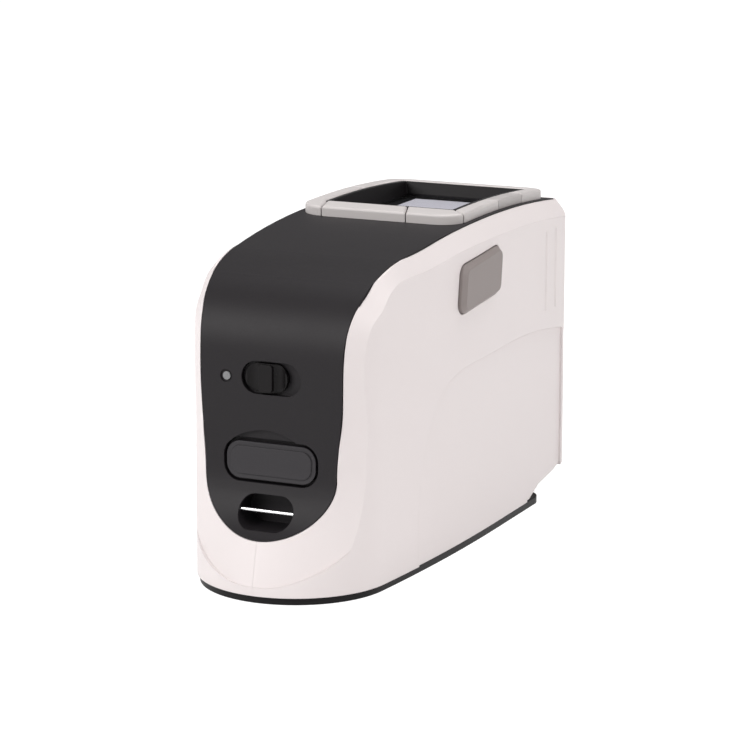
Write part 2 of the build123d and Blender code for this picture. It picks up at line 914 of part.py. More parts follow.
with BuildPart() as display_bezel:
    add(upright_box(-bezel_half, bezel_half, bezel_front, bezel_back, module_bottom, 130))
    add(side_slab(-bezel_rise), mode=Mode.INTERSECT)
    with BuildPart(mode=Mode.PRIVATE) as flange:
        add(upright_box(-28.5, 28.5, bezel_front - 0.4, bezel_back + 2.5, 100, 130))
        add(side_slab(cover_thickness, cover_thickness + 1.5), mode=Mode.INTERSECT)
        add(
            upright_box(-40, 40, from_nose(90), from_nose(108) + 0.35, 100, 130),
            mode=Mode.SUBTRACT,
        )
    add(flange.part)
    with Locations((0, opening_y, 0)):
        with BuildSketch(Plane.XY.offset(window_height)):
            with Locations((0, opening_y)):
                Rectangle(view_width, view_length)
        with BuildSketch(Plane.XY.offset(window_height + 10)):
            with Locations((0, opening_y)):
                Rectangle(
                    2 * (bezel_half - bezel_wall) + 1.6,
                    bezel_back - bezel_front - 2 * bezel_wall + 1.6,
                )
        loft(mode=Mode.SUBTRACT)
    add(
        upright_box(
            -window_width / 2,
            window_width / 2,
            opening_y - window_length / 2,
            opening_y + window_length / 2,
            module_bottom - 1,
            window_height - 0.6,
        ),
        mode=Mode.SUBTRACT,
    )
    add(
        upright_box(
            -view_width / 2,
            view_width / 2,
            opening_y - view_length / 2,
            opening_y + view_length / 2,
            module_bottom,
            window_height + 1,
        ),
        mode=Mode.SUBTRACT,
    )
    for x, y in bezel_posts:
        add(upright_rod(x, y, main_board_top, top_height(y) - cover_thickness - 1, 2.2))
    for x, y in bezel_posts:
        add(upright_rod(x, y, main_board_top - 1, main_board_top + 4, 1.0), mode=Mode.SUBTRACT)
keep("display_bezel", display_bezel.part)

window_inset = 0.05
keep(
    "display_window",
    upright_box(
        -window_width / 2 + window_inset,
        window_width / 2 - window_inset,
        opening_y - window_length / 2 + window_inset,
        opening_y + window_length / 2 - window_inset,
        window_bottom - 0.6,
        window_height - 0.6,
    ),
)
keep(
    "display_module",
    upright_box(
        -window_width / 2 + window_inset,
        window_width / 2 - window_inset,
        opening_y - window_length / 2 + window_inset,
        opening_y + window_length / 2 - window_inset,
        main_board_top,
        window_bottom - 0.6,
    ),
)

with BuildPart() as main_board:
    add(
        upright_box(
            -28.5,
            28.5,
            from_nose(96),
            from_nose(178),
            main_board_top - board_thickness,
            main_board_top,
            corner=2,
        )
    )
    for x, y in bezel_posts:
        add(upright_rod(x, y, 90, 110, small_screw_radius + 0.1), mode=Mode.SUBTRACT)
keep("main_board", main_board.part)

with BuildPart() as key_switches:
    for places in key_stems.values():
        for x, y in places:
            half = switch_size / 2
            add(upright_box(x - half, x + half, y - half, y + half, main_board_top, switch_top - 1.2))
            add(upright_rod(x, y, switch_top - 1.5, switch_top, 1.5))
keep("key_switches", key_switches.part)

with BuildPart() as board_screws:
    for x, y in bezel_posts:
        add(upright_rod(x, y, main_board_top - board_thickness - 1.2, main_board_top - board_thickness, 2))
        add(upright_rod(x, y, main_board_top - board_thickness - 0.5, main_board_top + 3.5, 1.0))
    for x, z in board_posts:
        back = board_face_back + board_thickness
        add(face_block(4, 4, 1.95, x, z, back, back + 1.2))
        add(face_block(1.9, 1.9, 0.94, x, z, board_face_back - 5.5, back + 0.5))
    for back, z in button_board_posts:
        with Locations((button_board_x - board_thickness - 0.6, from_nose(back), z)):
            Cylinder(2, 1.2, rotation=(0, 90, 0))
        with Locations((button_board_x, from_nose(back), z)):
            Cylinder(small_screw_radius - 0.1, 7, rotation=(0, 90, 0))
keep("board_screws", board_screws.part)


# Controls and ports on the black face
with BuildPart() as power_slider:
    add(
        face_layer(
            slider_width,
            switch_height - 1.4,
            (switch_height - 1.4) / 2 - 0.01,
            slider_rest_x,
            switch_centre_z,
            0.1,
            switch_depth - 0.2,
        )
    )
    # Finger dishes on both sides of the ridge
    with Locations(
        *[
            (slider_rest_x + side * dish_offset, cover_back(switch_centre_z) - dish_radius + 1.2, switch_centre_z)
            for side in (-1, 1)
        ]
    ):
        Cylinder(dish_radius, switch_height, mode=Mode.SUBTRACT)
    with BuildPart(mode=Mode.PRIVATE) as ridge:
        add(face_block(5.0, switch_height - 1.8, 1.2, slider_rest_x, switch_centre_z, 0, 20))
        add(side_slab(-0.9, switch_depth - 0.5), mode=Mode.INTERSECT)
    add(ridge.part)
    add(
        face_block(
            slider_stem_width, slider_stem_height, 0.8, slider_rest_x, switch_centre_z, 16, 20.6
        )
    )
keep("power_slider", power_slider.part)

with BuildPart() as switch_body:
    add(
        face_block(
            slider_stem_width + slider_travel + 5, 8, 0.6, slider_rest_x + slider_travel / 2,
            switch_centre_z, 19.6, board_face_back,
        )
    )
    add(
        face_block(
            slider_stem_width + slider_travel + 0.8, slider_stem_height + 0.8, 0.5,
            slider_rest_x + slider_travel / 2, switch_centre_z, 19, 21.2,
        ),
        mode=Mode.SUBTRACT,
    )
keep("switch_body", switch_body.part)

with BuildPart() as status_lens:
    add(
        face_block(
            2 * light_radius, 2 * light_radius, light_radius - 0.01, light_x, light_z, 0, board_face_back
        )
    )
    add(side_slab(0.2), mode=Mode.INTERSECT)
keep("status_lens", status_lens.part)

flap_low = bay_centre_z - bay_height / 2 + flap_margin
flap_axis_z = flap_low + flap_thickness / 2
flap_axis_y = cover_back(flap_axis_z) + flap_sunk + flap_thickness / 2
with BuildPart() as port_cover:
    add(
        face_layer(
            bay_width - 2 * flap_margin,
            bay_height - 2 * flap_margin,
            bay_radius - flap_margin,
            0,
            bay_centre_z,
            flap_sunk,
            flap_sunk + flap_thickness,
        )
    )
    # Raised panel on the flap
    add(
        face_layer(
            bay_width - 2 * flap_margin - 3,
            bay_height - 2 * flap_margin - 3,
            bay_radius - flap_margin - 1.4,
            0,
            bay_centre_z,
            flap_sunk - 0.4,
            flap_sunk + 0.5,
        )
    )
    # Rolled lower edge that the flap turns about
    with Locations((0, flap_axis_y, flap_axis_z)):
        Cylinder(flap_thickness / 2, bay_width - 2 * bay_radius - 1, rotation=(0, 90, 0))
keep("port_cover", port_cover.part)

for name, (x, width, height) in socket_places.items():
    with BuildPart() as socket:
        front = bay_depth + cover_back(bay_centre_z) - from_nose(0) + 0.2
        add(face_block(width, height, 1.0, x, bay_centre_z, front, board_face_back))
        if name == "dc_socket":
            add(face_block(4.4, 4.4, 2.19, x, bay_centre_z, front - 1, front + 5), mode=Mode.SUBTRACT)
            add(face_block(1.4, 1.4, 0.69, x, bay_centre_z, front + 0.6, board_face_back))
        else:
            add(
                face_block(width - 1.2, height - 1.2, 0.5, x, bay_centre_z, front - 1, front + 5),
                mode=Mode.SUBTRACT,
            )
            add(face_block(width - 3, (height - 1.2) / 3, 0.2, x, bay_centre_z, front + 0.6, board_face_back))
    keep(name, socket.part)

with BuildPart() as port_board:
    add(
        face_block(
            50, 55, 2, 0, 61.5, board_face_back, board_face_back + board_thickness
        )
    )
    for x, z in board_posts:
        add(
            face_block(2.4, 2.4, 1.19, x, z, board_face_back - 1, board_face_back + 3),
            mode=Mode.SUBTRACT,
        )
keep("port_board", port_board.part)


# Test button on the right side, its switch and board
with BuildPart() as test_button:
    add(
        side_polygon(
            button_corners, button_corner_radius, 0, button_flange_x - 1.6, half_width + button_proud
        )
    )
    chamfer(test_button.faces().sort_by(Axis.X)[-1].edges(), length=button_bevel)
    add(
        side_polygon(
            button_corners,
            button_corner_radius,
            button_flange,
            button_flange_x - 1.6,
            button_flange_x,
        )
    )
    with BuildSketch(Plane.YZ.offset(button_flange_x - 7)):
        with Locations((from_nose(100), 94)):
            Circle(2)
    extrude(amount=6)
keep("test_button", test_button.part)

switch_face_x = button_flange_x - 7 - button_travel - 0.1
with BuildPart() as test_switch:
    with BuildSketch(Plane.YZ.offset(button_board_x)):
        with Locations((from_nose(100), 94)):
            Rectangle(switch_size, switch_size)
    extrude(amount=switch_face_x - button_board_x - 0.6)
    with BuildSketch(Plane.YZ.offset(switch_face_x - 1)):
        with Locations((from_nose(100), 94)):
            Circle(1.6)
    extrude(amount=1)
keep("test_switch", test_switch.part)

with BuildPart() as test_board:
    with BuildSketch(Plane.YZ.offset(button_board_x - board_thickness)):
        with Locations((from_nose(101), 88)):
            RectangleRounded(34, 22, 2)
        for back, z in button_board_posts:
            with Locations((from_nose(back), z)):
                Circle(small_screw_radius + 0.1, mode=Mode.SUBTRACT)
    extrude(amount=board_thickness)
keep("test_board", test_board.part)


# Integrating sphere in two halves, on the bosses of the base plate
def tilted(angle, low, high, radius):
    """A rod that points from the sphere's centre, tilted about the width."""
    with BuildPart() as rod:
        with Locations(Location((0, optics_y, sphere_height), (-angle, 0, 0))):
            Cylinder(radius, high, align=(Align.CENTER, Align.CENTER, Align.MIN))
            Cylinder(
                radius + 1, low, align=(Align.CENTER, Align.CENTER, Align.MIN), mode=Mode.SUBTRACT
            )
    return rod.part


def sphere_half(upper):
    with BuildPart() as half:
        with Locations((0, optics_y, sphere_height)):
            Sphere(sphere_radius)
            Cylinder(flange_radius, 2 * flange_half)
        if not upper:
            add(upright_rod(0, optics_y, base_thickness, sphere_height - 10, aperture_radius + 4))
        else:
            add(tilted(lamp_tilt, sphere_radius - 3, sphere_radius + 3, 8))
        with Locations((0, optics_y, sphere_height)):
            Sphere(sphere_radius - sphere_wall, mode=Mode.SUBTRACT)
        add(upright_rod(0, optics_y, 0, sphere_height, aperture_radius + 1), mode=Mode.SUBTRACT)
        add(tilted(barrel_tilt, 1, 60, barrel_radius + fit_gap), mode=Mode.SUBTRACT)
        add(tilted(lamp_tilt, 1, 60, 5), mode=Mode.SUBTRACT)
        for x, y in posts:
            add(upright_rod(x, y, 0, 80, long_screw_radius + 0.1), mode=Mode.SUBTRACT)
        split(
            bisect_by=Plane.XY.offset(sphere_height), keep=Keep.TOP if upper else Keep.BOTTOM
        )
    return half.part


keep("sphere_lower", sphere_half(False))
keep("sphere_upper", sphere_half(True))

with BuildPart() as lamp_holder:
    add(tilted(lamp_tilt, sphere_radius + 3, sphere_radius + 6, 8))
    add(tilted(lamp_tilt, sphere_radius - 1, sphere_radius + 4, 4.9))
keep("lamp_holder", lamp_holder.part)

deck_top = deck_height + deck_thickness
with BuildPart() as optics_frame:
    add(
        upright_box(
            -post_spread - 5,
            post_spread + 5,
            optics_y - post_spread - 5,
            optics_y + post_spread + 5,
            deck_height,
            deck_top,
            corner=4,
        )
    )
    for x, y in posts:
        add(upright_rod(x, y, sphere_height + flange_half, deck_height, post_radius))
    add(tilted(barrel_tilt, 1, 60, barrel_radius + 0.6), mode=Mode.SUBTRACT)
    for x, y in posts:
        add(upright_rod(x, y, 0, 80, long_screw_radius + 0.1), mode=Mode.SUBTRACT)
keep("optics_frame", optics_frame.part)

with BuildPart() as optics_screws:
    for x, y in posts:
        add(upright_rod(x, y, deck_top, deck_top + 1.6, 2.4))
        add(upright_rod(x, y, 8, deck_top + 0.4, long_screw_radius - 0.02))
keep("optics_screws", optics_screws.part)

with BuildPart() as lens_barrel:
    add(tilted(barrel_tilt, sphere_radius - 1.5, sphere_radius + 9, barrel_radius))
    add(tilted(barrel_tilt, sphere_radius - 5, sphere_radius + 12, barrel_radius - 2), mode=Mode.SUBTRACT)
keep("lens_barrel", lens_barrel.part)


# Spectrometer on the deck
spectro_x = spectro_width / 2 - 5
spectro_y = (optics_y - spectro_length / 2 + 2, optics_y + spectro_length / 2 + 2)
spectro_top = deck_top + spectro_height
with BuildPart() as spectrometer_housing:
    add(upright_box(-spectro_x, spectro_x, *spectro_y, deck_top, spectro_top, corner=3))
    add(
        upright_box(
            -spectro_x + spectro_wall,
            spectro_x - spectro_wall,
            spectro_y[0] + spectro_wall,
            spectro_y[1] - spectro_wall,
            deck_top + spectro_wall,
            spectro_top + 1,
            corner=1.5,
        ),
        mode=Mode.SUBTRACT,
    )
    add(tilted(barrel_tilt, 1, 45, barrel_radius + 0.6), mode=Mode.SUBTRACT)
keep("spectrometer_housing", spectrometer_housing.part)
keep(
    "spectrometer_lid",
    upright_box(-spectro_x, spectro_x, *spectro_y, spectro_top, spectro_top + 1.6, corner=3),
)
inner_floor = deck_top + spectro_wall
with BuildPart() as grating:
    with BuildSketch(Plane.XY.offset(inner_floor)):
        with Locations((2, spectro_y[0] + 8)):
            Rectangle(14, 4, rotation=12)
    extrude(amount=14)
keep("grating", grating.part)
keep(
    "detector_board",
    upright_box(
        -spectro_x + 4,
        spectro_x - 4,
        spectro_y[1] - spectro_wall - board_thickness,
        spectro_y[1] - spectro_wall,
        inner_floor,
        inner_floor + 16,
    ),
)


# Battery in its tray on the base plate
tray_front = from_nose(tray_front_back)
with BuildPart() as battery_tray:
    add(
        upright_box(
            -battery_width / 2 - tray_wall,
            battery_width / 2 + tray_wall,
            tray_front,
            tray_front + battery_length + 2 * tray_wall,
            base_thickness,
            base_thickness + battery_height * 0.6,
            corner=3,
        )
    )
    add(
        upright_box(
            -battery_width / 2,
            battery_width / 2,
            tray_front + tray_wall,
            tray_front + tray_wall + battery_length,
            base_thickness + tray_wall,
            base_thickness + battery_height,
            corner=1.5,
        ),
        mode=Mode.SUBTRACT,
    )
keep("battery_tray", battery_tray.part)
keep(
    "battery_pack",
    upright_box(
        -battery_width / 2 + 0.1,
        battery_width / 2 - 0.1,
        tray_front + tray_wall + 0.1,
        tray_front + tray_wall + battery_length - 0.1,
        base_thickness + tray_wall,
        base_thickness + tray_wall + battery_height,
        corner=2,
    ),
)
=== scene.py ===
"""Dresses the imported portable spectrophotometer: finishes, small parts, light and camera."""

from math import cos, pi, radians, sin

import bmesh
import bpy
from bpy.props import FloatProperty, FloatVectorProperty, IntProperty, PointerProperty
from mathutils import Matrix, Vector


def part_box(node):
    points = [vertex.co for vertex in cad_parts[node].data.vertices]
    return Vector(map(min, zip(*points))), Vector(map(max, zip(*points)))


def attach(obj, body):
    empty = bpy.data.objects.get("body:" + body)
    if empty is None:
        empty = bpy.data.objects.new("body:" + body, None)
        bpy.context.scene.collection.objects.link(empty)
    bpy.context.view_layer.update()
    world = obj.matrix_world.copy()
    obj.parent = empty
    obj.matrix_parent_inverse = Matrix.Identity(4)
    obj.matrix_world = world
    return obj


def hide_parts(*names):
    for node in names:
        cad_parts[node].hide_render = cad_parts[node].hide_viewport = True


bl_info = {
    "name": "Portable spectrophotometer",
    "version": (1, 0, 0),
    "blender": (4, 5, 0),
    "location": "View3D > Sidebar > Instrument",
    "description": "Finishes, fasteners, display and studio for a handheld colour instrument",
    "category": "Object",
}

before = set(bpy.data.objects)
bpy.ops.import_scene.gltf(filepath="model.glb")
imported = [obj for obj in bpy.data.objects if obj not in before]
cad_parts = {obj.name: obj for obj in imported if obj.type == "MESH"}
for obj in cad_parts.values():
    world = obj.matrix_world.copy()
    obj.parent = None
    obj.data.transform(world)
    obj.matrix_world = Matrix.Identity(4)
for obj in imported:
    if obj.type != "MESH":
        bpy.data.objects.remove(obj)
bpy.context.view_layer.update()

# Names and sizes that the pieces and the stage share
BODY = "housing"
SCREW_SIDES = 24
SCREW_SEED = 3
PIXEL = 0.00042
FLOOR_SIZE = 6.0
FLOOR_GREY = 0.28
FLOOR_GLOW = 0.92
BOUNCE_GREY = 0.8

# The photograph's viewing angle, from a fit to its outlines
CAMERA_TURN = radians(24.793)
CAMERA_RISE = radians(12.620)
CAMERA_DISTANCE = 1.13292
CAMERA_AIM = Vector((-0.030095, 0.069474, 0.041318))
CAMERA_LENS = 144.0
CAMERA_SENSOR = 36.0


# Sizes and colours that a user would change
class ShellFinish(bpy.types.PropertyGroup):
    colour: FloatVectorProperty(
        name="Shell colour", description="Base colour of the white housing halves",
        subtype="COLOR", size=3, min=0, max=1, default=(0.83, 0.775, 0.77),
    )
    roughness: FloatProperty(
        name="Shell roughness", description="Gloss of the moulded shells",
        subtype="FACTOR", min=0, max=1, default=0.42,
    )
    edge: FloatProperty(
        name="Edge rounding", description="Radius that softens every moulded edge",
        subtype="DISTANCE", unit="LENGTH", min=0, default=0.00035,
    )


class CoverFinish(bpy.types.PropertyGroup):
    colour: FloatVectorProperty(
        name="Cover colour", description="Base colour of the black front cover",
        subtype="COLOR", size=3, min=0, max=1, default=(0.0125, 0.0105, 0.0125),
    )
    roughness: FloatProperty(
        name="Cover roughness", description="Gloss of the grained cover",
        subtype="FACTOR", min=0, max=1, default=0.5,
    )
    grain: FloatProperty(
        name="Grain size", description="Width of one pit of the moulded grain",
        subtype="DISTANCE", unit="LENGTH", min=0.0001, default=0.00045,
    )
    grain_depth: FloatProperty(
        name="Grain depth", description="Depth of the moulded grain",
        subtype="DISTANCE", unit="LENGTH", min=0, default=0.00003,
    )


class FrameFinish(bpy.types.PropertyGroup):
    colour: FloatVectorProperty(
        name="Frame colour", description="Base colour of the grey display frame and its keys",
        subtype="COLOR", size=3, min=0, max=1, default=(0.62, 0.59, 0.58),
    )
    button_colour: FloatVectorProperty(
        name="Button colour", description="Base colour of the side test button",
        subtype="COLOR", size=3, min=0, max=1, default=(0.285, 0.25, 0.24),
    )


class FastenerSizes(bpy.types.PropertyGroup):
    head_radius: FloatProperty(
        name="Base screw head", description="Radius of the countersunk heads under the base",
        subtype="DISTANCE", unit="LENGTH", min=0.001, default=0.00285,
    )
    shank_radius: FloatProperty(
        name="Base screw shank", description="Radius of the base screws' shanks",
        subtype="DISTANCE", unit="LENGTH", min=0.0005, default=0.00148,
    )
    threads: IntProperty(
        name="Thread turns", description="Ridges drawn along a shank", min=2, max=30, default=9
    )


class StudioLight(bpy.types.PropertyGroup):
    key_power: FloatProperty(
        name="Key light", description="Power of the large lamp in front on the left",
        subtype="POWER", unit="POWER", min=0, default=15.6,
    )
    side_power: FloatProperty(
        name="Side light", description="Power of the lamp on the button side",
        subtype="POWER", unit="POWER", min=0, default=7.4,
    )
    top_power: FloatProperty(
        name="Top light", description="Power of the overhead lamp",
        subtype="POWER", unit="POWER", min=0, default=12.0,
    )
    ambient: FloatProperty(
        name="Ambient", description="Strength of the even light from all round",
        subtype="FACTOR", min=0, max=2, default=0.32,
    )


# Shader maths as Python expressions
class Wire:
    """One output socket; arithmetic on it adds Math nodes."""

    def __init__(self, sheet, socket):
        self.sheet = sheet
        self.socket = socket

    def maths(self, operation, first, second):
        return self.sheet.node(
            "ShaderNodeMath", {"operation": operation}, {0: first, 1: second}
        )

    def __add__(self, other):
        return self.maths("ADD", self, other)

    def __radd__(self, other):
        return self.maths("ADD", other, self)

    def __sub__(self, other):
        return self.maths("SUBTRACT", self, other)

    def __mul__(self, other):
        return self.maths("MULTIPLY", self, other)

    def __gt__(self, other):
        return self.maths("GREATER_THAN", self, other)

    def __lt__(self, other):
        return self.maths("LESS_THAN", self, other)

    def out(self, name):
        return Wire(self.sheet, self.socket.node.outputs[name])


class FinishSheet:
    """A material and the one method that adds any node to it."""

    def __init__(self, name):
        self.material = bpy.data.materials.new(name)
        self.material.use_nodes = True
        self.tree = self.material.node_tree
        self.tree.nodes.clear()
        self.output = self.tree.nodes.new("ShaderNodeOutputMaterial")

    def node(self, kind, settings=None, inputs=None):
        made = self.tree.nodes.new(kind)
        for key, value in (settings or {}).items():
            setattr(made, key, value)
        for key, value in (inputs or {}).items():
            if isinstance(value, Wire):
                self.tree.links.new(value.socket, made.inputs[key])
            else:
                made.inputs[key].default_value = value
        return Wire(self, made.outputs[0])

    def place(self):
        return self.node("ShaderNodeTexCoord").out("Object")

    def noise(self, scale, detail=2.0, where=None):
        return self.node(
            "ShaderNodeTexNoise",
            {},
            {"Vector": where or self.place(), "Scale": scale, "Detail": detail},
        )

    def blend(self, factor, first, second):
        """Two colours mixed by a factor."""
        made = self.tree.nodes.new("ShaderNodeMix")
        made.data_type = "RGBA"
        for index, value in ((0, factor), (6, first), (7, second)):
            if isinstance(value, Wire):
                self.tree.links.new(value.socket, made.inputs[index])
            else:
                made.inputs[index].default_value = value
        return Wire(self, made.outputs[2])

    def bump(self, height, distance, strength=1.0, edge=0.0):
        inputs = {"Height": height, "Distance": distance, "Strength": strength}
        if edge:
            inputs["Normal"] = self.node("ShaderNodeBevel", {"samples": 4}, {"Radius": edge})
        return self.node("ShaderNodeBump", {}, inputs)

    def surface(self, **values):
        """The Principled shader, with plain values set on its own sockets."""
        inputs = {
            key.replace("_", " ").title().replace("Ior", "IOR"): value
            for key, value in values.items()
        }
        shader = self.node("ShaderNodeBsdfPrincipled", {}, inputs)
        self.tree.links.new(shader.socket, self.output.inputs["Surface"])
        return self.material


def shade(colour, factor):
    return (*(channel * factor for channel in colour), 1)


def moulded(name, colour, roughness, grain, depth, mottle, edge, specular=0.5):
    """Moulded plastic: fine spark-eroded grain, faint mottling and softened edges."""
    sheet = FinishSheet(name)
    clouds = sheet.noise(38.0, 3.0)
    fine = sheet.noise(1.0 / grain, 2.0)
    tone = sheet.blend(clouds, shade(colour, 1 - mottle), shade(colour, 1 + mottle))
    tone = sheet.blend(fine * (0.35 * mottle / 0.04), tone, shade(colour, 1 - 2 * mottle))
    rough = roughness - 0.04 + clouds * 0.08 + (fine - 0.5) * 0.06
    return sheet.surface(
        base_color=tone,
        roughness=rough,
        specular_ior_level=specular,
        normal=sheet.bump(fine, depth, 0.8, edge),
    )


def metal(name, colour, roughness, brushed=0.0):
    """Bare or plated metal, with fine lines along X when brushed."""
    sheet = FinishSheet(name)
    where = sheet.place()
    if brushed:
        where = sheet.node(
            "ShaderNodeMapping", {}, {"Vector": where, "Scale": (0.08, 1.0, 1.0)}
        )
    lines = sheet.noise(2600.0 if brushed else 900.0, 2.0, where)
    stains = sheet.noise(60.0, 3.0)
    return sheet.surface(
        base_color=sheet.blend(stains, shade(colour, 0.93), shade(colour, 1.05)),
        metallic=1.0,
        roughness=roughness - 0.03 + lines * 0.08,
        normal=sheet.bump(lines, 0.000004 + 0.00001 * brushed, 0.6, 0.0002),
    )


def board_finish():
    """Green solder mask with paler tracks."""
    sheet = FinishSheet("solder_mask")
    lines = sheet.noise(220.0, 0.0) > 0.5
    return sheet.surface(
        base_color=sheet.blend(lines, (0.010, 0.085, 0.035, 1), (0.018, 0.140, 0.055, 1)),
        roughness=0.32 + lines * 0.06,
        normal=sheet.bump(lines, 0.00003, 0.5),
    )


def display_finish(low, high):
    """Pale reflective display: lavender active area, darker surround, faint pixel rows; the active
    area also glows with painted light, though the display is no lamp.
    """
    sheet = FinishSheet("display_panel")
    axes = sheet.node("ShaderNodeSeparateXYZ", {}, {"Vector": sheet.place()})
    across, along = axes.out("X"), axes.out("Y")
    inside = (across > low[0]) * (across < high[0]) * (along > low[1]) * (along < high[1])
    rows, columns = (
        sheet.node("ShaderNodeMath", {"operation": "SINE"}, {0: axis * (2 * pi / PIXEL)})
        for axis in (along, across)
    )
    clouds = sheet.noise(24.0, 2.0)
    lit = sheet.blend(clouds, (0.62, 0.60, 0.66, 1), (0.70, 0.68, 0.73, 1))
    lit = sheet.blend((rows * columns) * 0.04 + 0.04, lit, (0.45, 0.43, 0.55, 1))
    return sheet.surface(
        base_color=sheet.blend(inside, (0.012, 0.012, 0.014, 1), lit),
        roughness=0.35,
        # Painted light: the active area's colour is also emitted, so this reflective display glows
        # as if it were a lamp
        emission_color=sheet.blend(inside, (0, 0, 0, 1), lit),
        emission_strength=0.7,
    )


def window_finish():
    """Clear hard-coated window, thin enough to show the display without bending it."""
    sheet = FinishSheet("window_glass")
    smears = sheet.noise(45.0, 4.0)
    clear = sheet.node("ShaderNodeBsdfTransparent", {}, {"Color": (0.96, 0.97, 0.98, 1)})
    gloss = sheet.node(
        "ShaderNodeBsdfPrincipled", {},
        {"Base Color": (0.02, 0.02, 0.02, 1), "Roughness": 0.04 + smears * 0.06},
    )
    rim = sheet.node("ShaderNodeFresnel", {}, {"IOR": 1.35})
    mixed = sheet.node("ShaderNodeMixShader", {}, {0: rim, 1: clear, 2: gloss})
    sheet.tree.links.new(mixed.socket, sheet.output.inputs["Surface"])
    return sheet.material


def coat(material, *nodes):
    """Gives carried-over nodes their finish."""
    for node in nodes:
        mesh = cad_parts[node].data
        if not mesh.materials:
            mesh.materials.append(material)
        for index in range(len(mesh.materials)):
            mesh.materials[index] = material


def settle(name, mesh, body, material, replaced):
    """Links a finished mesh as a piece that rides on a body in place of a node."""
    piece = bpy.data.objects.new(name, mesh)
    bpy.context.scene.collection.objects.link(piece)
    mesh.materials.clear()
    mesh.materials.append(material)
    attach(piece, body)
    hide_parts(replaced)


def screw_mesh(head_radius, shank_radius, length, turns):
    """One countersunk screw with its head down on Z = 0 and a ridged shank."""
    head_height = head_radius - shank_radius
    profile = [(0.0, 0.0), (head_radius, 0.0), (shank_radius, head_height)]
    step = (length - head_height) / turns
    for turn in range(turns):
        base = head_height + turn * step
        profile += [(shank_radius * 0.8, base + step * 0.3), (shank_radius, base + step * 0.75)]
    profile += [(shank_radius * 0.5, length), (0.0, length)]
    shape = bmesh.new()
    loops = []
    for radius, height in profile:
        sides = SCREW_SIDES if radius else 1
        angles = [2 * pi * side / sides for side in range(sides)]
        loops.append([
            shape.verts.new((radius * cos(angle), radius * sin(angle), height)) for angle in angles
        ])
    for lower, upper in zip(loops, loops[1:]):
        for side in range(SCREW_SIDES):
            after = (side + 1) % SCREW_SIDES
            corners = [lower[side % len(lower)], lower[after % len(lower)]]
            corners += [upper[after % len(upper)], upper[side % len(upper)]]
            shape.faces.new(dict.fromkeys(corners))
    bmesh.ops.recalc_face_normals(shape, faces=shape.faces)
    mesh = bpy.data.meshes.new("screw_pattern")
    shape.to_mesh(mesh)
    shape.free()
    return mesh


def scatter_tree():
    """Geometry Nodes: one pattern object on every point, turned a seeded random way about Z."""
    tree = bpy.data.node_groups.new("fasteners_on_points", "GeometryNodeTree")
    for name, way, kind in (
        ("Geometry", "INPUT", "Geometry"),
        ("Pattern", "INPUT", "Object"),
        ("Finish", "INPUT", "Material"),
        ("Seed", "INPUT", "Int"),
        ("Geometry", "OUTPUT", "Geometry"),
    ):
        tree.interface.new_socket(name, in_out=way, socket_type="NodeSocket" + kind)
    entry, leave, pattern, turn, place, real, finish = (
        tree.nodes.new(kind)
        for kind in (
            "NodeGroupInput",
            "NodeGroupOutput",
            "GeometryNodeObjectInfo",
            "FunctionNodeRandomValue",
            "GeometryNodeInstanceOnPoints",
            "GeometryNodeRealizeInstances",
            "GeometryNodeSetMaterial",
        )
    )
    turn.data_type = "FLOAT_VECTOR"
    turn.inputs["Max"].default_value = (0, 0, 2 * pi)
    for source, output, target, socket in (
        (entry, "Pattern", pattern, "Object"),
        (entry, "Geometry", place, "Points"),
        (pattern, "Geometry", place, "Instance"),
        (entry, "Seed", turn, "Seed"),
        (turn, "Value", place, "Rotation"),
        (place, "Instances", real, "Geometry"),
        (real, "Geometry", finish, "Geometry"),
        (entry, "Finish", finish, "Material"),
        (finish, "Geometry", leave, "Geometry"),
    ):
        tree.links.new(source.outputs[output], target.inputs[socket])
    return tree


def scatter(name, places, pattern_mesh, material, seed):
    """The pattern at each place as one plain mesh, through the Geometry Nodes tree."""
    pattern = bpy.data.objects.new(name + "_pattern", pattern_mesh)
    points = bpy.data.meshes.new(name + "_points")
    points.from_pydata([Vector(place) for place in places], [], [])
    carrier = bpy.data.objects.new(name + "_carrier", points)
    for thing in (carrier, pattern):
        bpy.context.scene.collection.objects.link(thing)
    tree = scatter_tree()
    modifier = carrier.modifiers.new("fasteners", "NODES")
    modifier.node_group = tree
    values = {"Pattern": pattern, "Finish": material, "Seed": seed}
    for item in tree.interface.items_tree:
        if item.in_out == "INPUT" and item.name in values:
            modifier[item.identifier] = values[item.name]
    graph = bpy.context.evaluated_depsgraph_get()
    graph.update()
    mesh = bpy.data.meshes.new_from_object(carrier.evaluated_get(graph), depsgraph=graph)
    for thing in (carrier, pattern):
        bpy.data.objects.remove(thing)
    return mesh


def islands(node):
    """Lowest and highest corners of each loose solid in a node, sorted by place."""
    shape = bmesh.new()
    shape.from_mesh(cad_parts[node].data)
    bmesh.ops.remove_doubles(shape, verts=shape.verts, dist=1e-7)
    left = set(shape.verts)
    found = []
    while left:
        group, edge = set(), [left.pop()]
        while edge:
            vert = edge.pop()
            group.add(vert)
            for link in vert.link_edges:
                other = link.other_vert(vert)
                if other in left:
                    left.discard(other)
                    edge.append(other)
        low = Vector([min(v.co[i] for v in group) for i in range(3)])
        high = Vector([max(v.co[i] for v in group) for i in range(3)])
        found.append((low, high))
    shape.free()
    return sorted(found, key=lambda corners: tuple(corners[0]))


class INSTRUMENT_OT_shells(bpy.types.Operator):
    """Finishes the two white shells"""

    bl_idname = "instrument.shells"
    bl_label = "White shells"

    def execute(self, context):
        look = context.scene.shell_finish
        white = moulded(
            "white_shell", look.colour, look.roughness,
            grain=0.0006, depth=0.000012, mottle=0.012, edge=look.edge,
        )
        coat(white, "right_shell", "left_shell")
        return {"FINISHED"}


